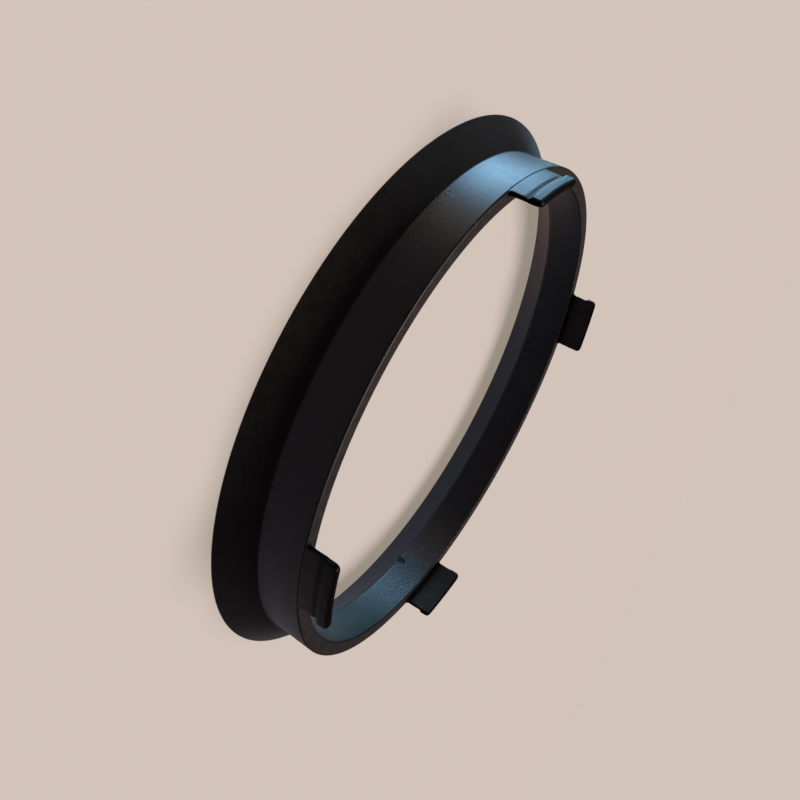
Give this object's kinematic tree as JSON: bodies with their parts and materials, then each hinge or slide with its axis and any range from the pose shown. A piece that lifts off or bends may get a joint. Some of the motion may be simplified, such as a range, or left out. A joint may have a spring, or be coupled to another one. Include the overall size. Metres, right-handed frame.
{
  "type": "hub centric ring",
  "caption": "Moulded plastic ring that centres a car wheel on its hub: short cylinder with a conical flange, a tapered lead-in to its bore, and snap tabs with barbs on the front face.",
  "frame": {"origin": "centre of the back of the flange, on the surface that the ring lies on", "axes": "+Z along the ring's axis, from the flange to the snap tabs; +X and +Y each pass through the middle of a tab"},
  "size_m": [0.0738, 0.0738, 0.0124],
  "materials": {
    "black_plastic": "satin moulded black plastic"
  },
  "bodies": {
    "root": {"hub_centric_ring": "black_plastic"}
  },
  "joints": []
}
